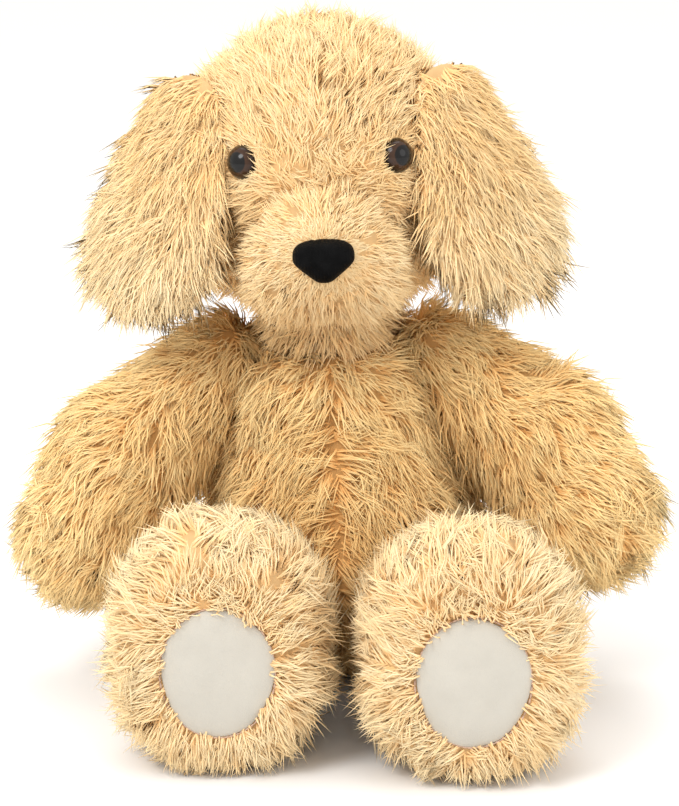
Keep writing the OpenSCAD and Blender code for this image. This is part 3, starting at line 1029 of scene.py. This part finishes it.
class DOG_OT_muzzle(bpy.types.Operator):
    """Makes the muzzle with its pile, and the nose."""

    bl_idname = "dog.muzzle"
    bl_label = "Muzzle and nose"

    def execute(self, context):
        """Muzzle pile spreads from the nose; the nose is a padded rounded triangle."""
        sizes = context.scene.dog_sizes
        grid = form_grid(muzzle_rule, MUZZLE, BACKWARD)
        cream_skin("muzzle_cloth", grid, "head", "muzzle_skin")

        def comb(points, normals):
            return unit(points - NOSE) + np.array([0, 0.25, -0.10]) + \
                0.30 * gusts(points, 18 * MM, 31)

        def length(points):
            gap = np.linalg.norm(points - NOSE, axis=1)
            return sizes.muzzle_pile * (0.55 + 0.45 * soft_step(gap, 12 * MM, 30 * MM))

        def keep(points):
            local = (points - NOSE) @ UPRIGHT
            under = np.hypot(local[:, 0] / (9.0 * MM), local[:, 2] / (6.0 * MM)) < 1
            behind = head_rule(points) < -3 * MM
            return ~(under & (local[:, 1] < 12 * MM)) & ~behind

        def tone(points):
            return 0.46 + 0.12 * waves(points, 20 * MM, 12)

        def weight(points, normals):
            gap = np.linalg.norm(points - NOSE, axis=1)
            return 1 + 2.2 * (1 - soft_step(gap, 10 * MM, 19 * MM))

        pile("muzzle_pile", "head", grid, 16500, length, comb, tone, cream_pile(),
             301, weight=weight, keep=keep, lift=0.38, mess=0.3, width=sizes.strand_width * 0.75,
             spread=sizes.tuft_spread * 0.7)
        self.nose()
        return {"FINISHED"}

    def nose(self):
        """Black cover and the padding in it, both from the one form."""
        material = cloth_material("nose fabric", (0.0015, 0.0015, 0.0016), (0.004, 0.004, 0.0042),
                                  roughness=0.62, thread=1500.0, cloud=260.0, bump=0.8,
                                  relief=0.0003, Specular_IOR_Level=0.05)
        outside = self.nose_grid(inset=0.0, rib=0.11 * MM, cols=150, rows=52)
        inside = self.nose_grid(inset=1.3 * MM, rib=0.0, cols=64, rows=32)
        padded_piece("nose_pad", outside, "head", material, "nose_cover")
        padded_piece("nose_fill", inside, "head", fill_material(), "nose_padding")

    def nose_grid(self, inset, rib, cols, rows):
        """Outline: half width w|cos a|^0.8 narrowed towards the bottom, flat top and round
        bottom; its share sin(t)^0.75 sets the rows, and the front stands out as a cosine with
        fine upright ribs.
        """
        half_wide, top, bottom = 12.2 * MM - inset, 7.6 * MM - inset, 9.6 * MM - inset
        front_deep, back_deep = 8.6 * MM - inset, 1.2 * MM - 0.5 * inset
        rib_pitch = 0.31 * MM
        a = np.linspace(0, 2 * math.pi, cols, endpoint=False)
        t = np.linspace(0, math.pi, rows)[:, None]
        rise = np.sin(a)
        z = np.where(rise > 0, top * np.abs(rise) ** 0.62, bottom * rise)
        x = half_wide * np.sign(np.cos(a)) * np.abs(np.cos(a)) ** 0.8
        x = x * (1 - 0.44 * soft_step(-z / bottom, 0.0, 1.0))
        share = np.sin(t) ** 0.75
        front = t < math.pi / 2
        depth = np.where(front, front_deep, back_deep) * np.cos(t)
        gx, gz = share * x, share * z
        ribs = rib * np.sin(gx / rib_pitch * math.pi / 2) * front * soft_step(share, 0.02, 0.3)
        gy = 0.06 * gz - depth - ribs
        return from_head(0, -75.0 * MM, -29.5 * MM) + gx[..., None] * UPRIGHT[:, 0] \
            + gy[..., None] * UPRIGHT[:, 1] + gz[..., None] * UPRIGHT[:, 2]


def eye_material():
    """Eye: black middle, brown ring with fine spokes and a dark rim, under a clear gloss.
    Reads the piece's own chart, whose height is the share of the radius.
    """
    name = "eye"
    if name in bpy.data.materials:
        return bpy.data.materials[name]
    material, nodes, links, shader = new_material(
        name, 0.3, Coat_Weight=1.0, Coat_Roughness=0.03, Coat_IOR=1.32, Specular_IOR_Level=0.1)
    chart = nodes.new("ShaderNodeUVMap")
    chart.uv_map = "eye_chart"
    split = nodes.new("ShaderNodeSeparateXYZ")
    links.new(chart.outputs[0], split.inputs[0])
    ramp = nodes.new("ShaderNodeValToRGB")
    links.new(split.outputs[1], ramp.inputs[0])
    iris = bpy.context.scene.dog_colours.iris
    stops = ((0.0, (0.002, 0.0015, 0.0015)), (0.56, (0.003, 0.002, 0.0015)),
             (0.62, tuple(iris)), (0.80, tuple(0.75 * v for v in iris)),
             (0.93, (0.008, 0.004, 0.002)))
    while len(ramp.color_ramp.elements) < len(stops):
        ramp.color_ramp.elements.new(0.5)
    for element, (place, colour) in zip(ramp.color_ramp.elements, stops):
        element.position = place
        element.color = solid(colour)
    spokes = nodes.new("ShaderNodeTexNoise")
    spokes.inputs["Scale"].default_value = 60.0
    stretch = nodes.new("ShaderNodeMapping")
    stretch.inputs["Scale"].default_value = (1.0, 0.05, 1.0)
    links.new(chart.outputs[0], stretch.inputs[0])
    links.new(stretch.outputs[0], spokes.inputs["Vector"])
    colour = mix_colour(nodes, links, 0.35, ramp.outputs[0], spokes.outputs[0], "MULTIPLY")
    links.new(colour, shader.inputs["Base Color"])
    return material


class DOG_OT_eyes(bpy.types.Operator):
    """Makes the two domed eyes and finishes their washers."""

    bl_idname = "dog.eyes"
    bl_label = "Eyes"

    def execute(self, context):
        """Each eye is turned from one profile: shank, back, rim and dome."""
        for name, sign in SIDES:
            self.eye(name, sign)
            dress(name + "_eye_washer", cloth_material(
                "washer nylon", (0.70, 0.70, 0.68), (0.82, 0.82, 0.80), roughness=0.45,
                thread=300.0, bump=0.1))
        return {"FINISHED"}

    def eye(self, name, sign):
        """Turned profile (radius, height) about the eye's axis: a dome that is the cap of a
        sphere, a rounded rim, a flat back and a ribbed shank.
        """
        dome_h = 5 * MM
        sphere = (EYE_R ** 2 + dome_h ** 2) / (2 * dome_h)
        reach = math.asin(EYE_R / sphere)
        t = np.linspace(0, reach, 26)
        dome = np.stack([sphere * np.sin(t), sphere * np.cos(t) + dome_h - sphere], 1)
        rim = np.array([[7.05, -0.25], [6.9, -0.55], [6.3, -0.6], [2.3, -0.6]]) * MM
        ribs = []
        for step in range(5):
            low = -1.2 - 2.4 * step
            ribs += [[2.2, low], [2.6, low - 0.5], [2.6, low - 1.1], [2.2, low - 1.6]]
        profile = np.concatenate([dome, rim, np.array(ribs) * MM, np.array([[0.0, -13.6 * MM]])])
        cols = 64
        angle = np.linspace(0, 2 * math.pi, cols, endpoint=False)
        axis = eye_axis(sign)
        across = unit(np.cross(np.array([0.0, 0.0, 1.0]), axis))
        up = np.cross(axis, across)
        grid = eye_seat(sign) + profile[:, 0, None, None] * (
            np.cos(angle)[None, :, None] * across + np.sin(angle)[None, :, None] * up) \
            + profile[:, 1, None, None] * axis
        points, quads, tris = closed_form(grid)
        piece = new_piece(name + "_eye_dome", points, quads, tris)
        chart = piece.data.uv_layers.new(name="eye_chart")
        seat = points - eye_seat(sign)
        out = seat - (seat @ axis)[:, None] * axis
        radius = np.linalg.norm(out, axis=1) / EYE_R
        radius[(seat @ axis) < -0.2 * MM] = 1.0
        around = np.arctan2(out @ up, out @ across) / (2 * math.pi) + 0.5
        both = np.stack([around, np.clip(radius, 0, 1)], 1)
        corners = np.empty(len(piece.data.loops), np.int32)
        piece.data.loops.foreach_get("vertex_index", corners)
        chart.data.foreach_set("uv", both[corners].astype(np.float32).ravel())
        declare(piece, "head", eye_material(), name + "_eye")


class DOG_OT_ears(bpy.types.Operator):
    """Makes both ears: long-piled flap and short lining."""

    bl_idname = "dog.ears"
    bl_label = "Ears"

    def execute(self, context):
        """Pile runs down each flap and out over its edges."""
        sizes = context.scene.dog_sizes
        for name, sign in SIDES:
            outer = clear_of_head(ear_grid(sign, 3.3 * MM, 11 * MM))
            inner = clear_of_head(ear_grid(sign, 0.0, 3.0 * MM))
            body = name + "_ear"
            cream_skin(name + "_ear_flap", outer, body, name + "_ear_plush")
            cream_skin(name + "_ear_inside", inner, body, name + "_ear_lining")
            root, across, out, down = ear_frame(sign)

            def comb(points, normals):
                side = ((points - root) @ across)[:, None] / (30 * MM)
                return down * 1.1 + across * side * 0.7 + 0.5 * gusts(points, 26 * MM, 41)

            def length(points):
                far = soft_step((points - root) @ down, 5 * MM, 70 * MM)
                return sizes.ear_pile * (0.72 + 0.28 * far)

            def tone(points):
                far = soft_step((points - root) @ down, 20 * MM, 95 * MM)
                return 0.14 + 0.52 * far + 0.12 * waves(points, 24 * MM, 14)

            pile(name + "_ear_pile", body, outer, 15800, length, comb, tone,
                 cream_pile(), 400 + int(sign), lift=0.36,
                 keep=lambda p: (p - root) @ down > 3 * MM)
            pile(name + "_ear_inside_pile", body, inner, 2400,
                 lambda p: np.full(len(p), 6 * MM), comb, tone, cream_pile(), 410 + int(sign),
                 keep=lambda p: (p - root) @ out < 3 * MM, lift=0.3, mess=0.3)
        return {"FINISHED"}


class DOG_OT_arms(bpy.types.Operator):
    """Makes both arms and their pile."""

    bl_idname = "dog.arms"
    bl_label = "Arms"

    def execute(self, context):
        """Pile runs down each arm and round its paw."""
        sizes = context.scene.dog_sizes
        for name, sign in SIDES:
            shoulder = PIN[name + "_arm_raise"]
            paw = paw_middle(name)
            grid = form_grid(arm_rule(name, sign), arm_middle(name, sign), paw - shoulder)
            golden_skin(name + "_arm_cloth", grid, name + "_arm", name + "_arm_skin")
            way = unit(paw - shoulder)

            def comb(points, normals):
                end = soft_step((points - paw) @ way, -10 * MM, 25 * MM)[:, None]
                out = np.array([0.55 * sign, -0.1, -0.3])
                return way * (1 - 0.3 * end) + out + 0.95 * gusts(points, 32 * MM, 51)

            def length(points):
                low = 1 - soft_step(points[:, 2], 36 * MM, 62 * MM)
                return sizes.body_pile * (1 - 0.3 * low + 0.12 * waves(points, 24 * MM, 16))

            def tone(points):
                far = soft_step((points - shoulder) @ way, 20 * MM, 120 * MM)
                return 0.44 + 0.18 * far + 0.15 * waves(points, 28 * MM, 18)

            pile(name + "_arm_pile", name + "_arm", grid, 17400, length, comb,
                 tone, golden_pile(), 500 + int(sign), lift=0.38, mess=0.6,
                 keep=lambda p: (torso_hull(p) > -3 * MM) & (head_rule(p) > 0))
        return {"FINISHED"}


class DOG_OT_legs(bpy.types.Operator):
    """Makes both legs with their feet, soles and pile."""

    bl_idname = "dog.legs"
    bl_label = "Legs and soles"

    def execute(self, context):
        """Pile spreads from each sole pad over the foot and back along the leg."""
        sizes = context.scene.dog_sizes
        for name, sign in SIDES:
            pad = pad_middle(name)
            grid = form_grid(leg_rule(name), leg_middle(name), BACKWARD)
            cream_skin(name + "_leg_cloth", grid, name + "_leg", name + "_leg_skin")

            def comb(points, normals):
                away = unit(points - pad - np.array([0, 10 * MM, 0]))
                return away + np.array([0, 0.15, 0]) + 0.55 * gusts(points, 28 * MM, 61)

            def on_pad(points, grow):
                local = (points - pad) / np.array([PAD_HALF[0] + grow, 1.0, PAD_HALF[1] + grow])
                return np.hypot(local[:, 0], local[:, 2])

            def keep(points):
                sole = points[:, 1] < pad[1] + 6 * MM
                return ~(sole & (on_pad(points, -0.6 * MM) < 1)) & (torso_hull(points) > -3 * MM)

            def length(points):
                ring = on_pad(points, 0.0)
                sole = 1 - soft_step(points[:, 1], pad[1] + 8 * MM, pad[1] + 25 * MM)
                short = sole * (1 - soft_step(ring, 1.0, 1.5))
                floor = soft_step(points[:, 2], 0.0, 14 * MM)
                return sizes.foot_pile * (1 - 0.30 * short) * (0.6 + 0.4 * floor)

            def tone(points):
                back = soft_step(points[:, 1], pad[1] + 40 * MM, pad[1] + 110 * MM)
                return 0.60 - 0.40 * back + 0.14 * waves(points, 26 * MM, 19)

            def weight(points, normals):
                near = 1 - soft_step(on_pad(points, 0.0), 1.1, 1.7)
                near *= 1 - soft_step(points[:, 1], pad[1] + 4 * MM, pad[1] + 16 * MM)
                return 0.3 + 0.7 * soft_step(points[:, 2], 2 * MM, 10 * MM) + 1.9 * near

            def lift(points):
                near = 1 - soft_step(on_pad(points, 0.0), 1.0, 1.6)
                return 0.42 + 0.30 * near * (points[:, 1] < pad[1] + 8 * MM)

            pile(name + "_leg_pile", name + "_leg", grid, 23000, length, comb,
                 tone, cream_pile(), 600 + int(sign), weight=weight, keep=keep, lift=lift)
            self.sole(name, pad)
        return {"FINISHED"}

    def sole(self, name, pad):
        """Velour pad: a slightly uneven oval that swells as a flattened dome and is drawn in
        at its rim; and a ring of short stitches round it.
        """
        rows, cols = 60, 120
        a = np.linspace(0, 2 * math.pi, cols, endpoint=False)
        t = np.linspace(0, math.pi, rows + 2)
        share = np.sin(t) ** 0.85
        swell = 1 + 0.02 * np.sin(3 * a + 0.6) + 0.012 * np.sin(5 * a)
        gx = share[:, None] * (PAD_HALF[0] * np.cos(a) * swell)[None]
        gz = share[:, None] * (PAD_HALF[1] * np.sin(a) * swell)[None]
        out = np.where(t < math.pi / 2, 3.2 * MM * np.abs(np.cos(t)) ** 0.9, 0.3 * MM * np.cos(t))
        soft = waves(np.stack([gx, gz, gx * 0], -1), 16 * MM, 77) * 0.35 * MM
        gy = -(out[:, None] + soft * (t < math.pi / 2)[:, None] * share[:, None] ** 0.3
               * soft_step(np.cos(t), 0.0, 0.5)[:, None]) - 0.5 * MM
        grid = pad + np.stack([gx, gy, gz], -1)
        c = bpy.context.scene.dog_colours
        velour = cloth_material("sole velour", tuple(0.93 * v for v in c.velour), c.velour,
                                roughness=0.95, thread=2200.0, cloud=90.0, bump=0.45,
                                relief=0.0003, Sheen_Weight=0.35)
        padded_piece(name + "_sole_velour", grid, name + "_leg", velour,
                     name + "_sole_pad")
        self.stitches(name, pad)

    def stitches(self, name, pad):
        """Short stitches in a row round the pad, each a lens-shaped bead along the seam."""
        number, rows, cols = 66, 4, 6
        half_long, half_thick, outside = 1.25 * MM, 0.42 * MM, 0.4 * MM
        forward = np.array([0.0, -1.0, 0.0])
        angle = np.arange(number) * 2 * math.pi / number
        wide, tall = PAD_HALF[0] + outside, PAD_HALF[1] + outside
        middle = pad + np.stack([wide * np.cos(angle), np.full(number, -0.9 * MM),
                                 tall * np.sin(angle)], -1)
        way = unit(np.stack([-wide * np.sin(angle), np.zeros(number), tall * np.cos(angle)], -1))
        side = np.cross(way, forward)
        t = np.linspace(0, math.pi, rows + 2)[:, None, None]
        b = np.linspace(0, 2 * math.pi, cols, endpoint=False)[:, None]
        made = []
        for place, along, across in zip(middle, way, side):
            ring = np.cos(b) * across + np.sin(b) * forward
            made.append(grid_mesh(
                place + half_long * np.cos(t) * along + half_thick * np.sin(t) * ring))
        size = len(made[0][0])
        points = np.concatenate([m[0] for m in made])
        quads = np.concatenate([m[1] + i * size for i, m in enumerate(made)])
        tris = np.concatenate([m[2] + i * size for i, m in enumerate(made)])
        quads, tris = facing_out(points, quads, tris)
        piece = new_piece(name + "_sole_stitches", points, quads, tris)
        thread = thread_material("sole thread", (0.42, 0.26, 0.18), (0.60, 0.42, 0.31))
        declare(piece, name + "_leg", thread, name + "_sole_seam")


class DOG_OT_tail(bpy.types.Operator):
    """Makes the tail and its pile."""

    bl_idname = "dog.tail"
    bl_label = "Tail"

    def execute(self, context):
        """Pile runs to the tail's tip."""
        sizes = context.scene.dog_sizes
        grid = form_grid(tail_rule, TAIL_MIDDLE, TAIL_POLE, rows=60, cols=64)
        golden_skin("tail_cloth", grid, "tail", "tail_skin")

        def comb(points, normals):
            return np.array([0, 0.8, 0.55]) + 0.4 * gusts(points, 20 * MM, 71)

        pile("tail_pile", "tail", grid, 3800,
             lambda p: np.full(len(p), 0.6 * sizes.body_pile), comb,
             lambda p: 0.45 + 0.15 * waves(p, 20 * MM, 72), golden_pile(), 700, lift=0.4)
        return {"FINISHED"}


class DOG_OT_fill(bpy.types.Operator):
    """Makes the lumps of fibre fill inside every skin."""

    bl_idname = "dog.fill"
    bl_label = "Fibre fill"

    def execute(self, context):
        """Each fill is its skin's form drawn in by the cloth's thickness; each wad is a ball."""
        head_cloth, cloth = 4 * MM, 5 * MM
        jobs = [
            ("torso", "torso", torso_rule, TORSO_MIDDLE, UP, cloth),
            ("head", "head", head_rule, HEAD, UP, head_cloth),
            ("head", "muzzle", muzzle_rule, MUZZLE, BACKWARD, head_cloth),
            ("tail", "tail", tail_rule, TAIL_MIDDLE, TAIL_POLE, cloth),
        ]
        wads = [("neck", NECK, 20 * MM)]
        for name, sign in SIDES:
            arm, leg = name + "_arm", name + "_leg"
            along = paw_middle(name) - elbow_middle(name, sign)
            jobs.append((arm, arm, arm_rule(name, sign), arm_middle(name, sign), along, cloth))
            jobs.append((leg, leg, leg_rule(name), leg_middle(name), BACKWARD, cloth))
            wads.append((name + "_shoulder", PIN[name + "_arm_raise"], 12 * MM))
            wads.append((name + "_hip", PIN[name + "_leg_splay"], 20 * MM))
        for seed, (body, stem, rule, centre, pole, inset) in enumerate(jobs, 900):
            grid = form_grid(rule, centre, pole, rows=42, cols=48, inset=inset)
            grid = lumpy(grid, size=11 * MM, height=0.9 * MM, seed=seed)
            self.lump(stem + "_fill", grid, body, stem, fill=0.9)
        for seed, (body, centre, radius) in enumerate(wads, 950):
            grid = star_grid(lambda p: ball(p, centre, radius - 0.8 * MM), centre, UP,
                             rows=40, cols=48, reach=0.05)
            grid = lumpy(grid, size=8 * MM, height=0.7 * MM, seed=seed)
            self.lump(body + "_wad", grid, body, body, fill=0.7)
        return {"FINISHED"}

    def lump(self, name, grid, body, stem, fill):
        """One lump of fibre fill."""
        padded_piece(name, grid, body, fill_material(), stem + "_stuffing")


class DOG_OT_trim(bpy.types.Operator):
    """Finishes the seams, stitches, pouch, pellets and blank label."""

    bl_idname = "dog.trim"
    bl_label = "Seams and trim"

    def execute(self, context):
        """Gives each carried-over small piece its own cloth, thread or plastic."""
        threads = [name + seam for name, _ in SIDES for seam in ("_shoulder_seam", "_hip_seam")]
        for node in ("neck_seam", *threads, "tail_seam", "back_stitches"):
            dress(node, thread_material())
        dress("pellet_pouch", cloth_material("pouch cotton", (0.72, 0.69, 0.62),
                                             (0.86, 0.84, 0.78), thread=1300.0, bump=0.5))
        self.beads()
        dress("care_label", cloth_material("label satin", (0.86, 0.86, 0.86),
                                           (0.95, 0.95, 0.95), roughness=0.38, thread=3000.0,
                                           bump=0.3, Sheen_Weight=0.2))
        return {"FINISHED"}

    def beads(self):
        """Plastic pellets in three layers of staggered rows, each a small closed ball."""
        pitch, radius, room = 7.2 * MM, 3.4 * MM, 21 * MM
        closeness, outer_share = 0.87, 0.75
        low, high = node_box("pellet_pouch")
        middle = (low + high) / 2
        layer, row, place = (a.ravel() for a in np.mgrid[-1:2, -3:4, -3:4])
        x = (place + 0.5 * (row % 2)) * pitch
        y = row * pitch * closeness
        inside = np.hypot(x, y) < room * np.where(layer == 0, 1.0, outer_share)
        centres = middle + np.stack([x, y, layer * pitch], -1)[inside]
        points, quads, tris = closed_form(
            star_grid(lambda p: ball(p, np.zeros(3), radius), np.zeros(3), UP,
                      rows=5, cols=10, reach=0.01))
        first = np.arange(len(centres))[:, None, None] * len(points)
        piece = new_piece("pellet_beads", (centres[:, None] + points).reshape(-1, 3),
                          (first + quads).reshape(-1, 4), (first + tris).reshape(-1, 3))
        plastic = cloth_material("pellet plastic", (0.66, 0.66, 0.62), (0.84, 0.84, 0.80),
                                 roughness=0.4, thread=200.0, cloud=260.0, bump=0.1)
        declare(piece, "torso", plastic, "pellets")


class DOG_PT_panel(bpy.types.Panel):
    """Lists the plush dog's operators and settings."""

    bl_label = "Plush dog"
    bl_idname = "DOG_PT_panel"
    bl_space_type = "VIEW_3D"
    bl_region_type = "UI"
    bl_category = "Plush dog"

    def draw(self, context):
        for group in (context.scene.dog_sizes, context.scene.dog_colours):
            for key in group.__annotations__:
                self.layout.prop(group, key)
        for operator in OPERATORS:
            self.layout.operator(operator.bl_idname)


OPERATORS = (DOG_OT_stage, DOG_OT_torso, DOG_OT_head, DOG_OT_muzzle, DOG_OT_eyes, DOG_OT_ears,
             DOG_OT_arms, DOG_OT_legs, DOG_OT_tail, DOG_OT_fill, DOG_OT_trim)
CLASSES = (DogSizes, DogColours, *OPERATORS, DOG_PT_panel)


def register():
    """Registers the classes and hangs the settings on the scene."""
    for one in CLASSES:
        bpy.utils.register_class(one)
    bpy.types.Scene.dog_sizes = bpy.props.PointerProperty(type=DogSizes)
    bpy.types.Scene.dog_colours = bpy.props.PointerProperty(type=DogColours)


def unregister():
    """Takes the settings off the scene and unregisters the classes."""
    del bpy.types.Scene.dog_colours
    del bpy.types.Scene.dog_sizes
    for one in reversed(CLASSES):
        bpy.utils.unregister_class(one)


def main():
    """Runs every operator in order."""
    register()
    for operator in OPERATORS:
        group, name = operator.bl_idname.split(".")
        result = getattr(getattr(bpy.ops, group), name)()
        if result != {"FINISHED"}:
            raise RuntimeError(f"{operator.bl_label} did not finish: {result}")


if __name__ == "__main__":
    main()
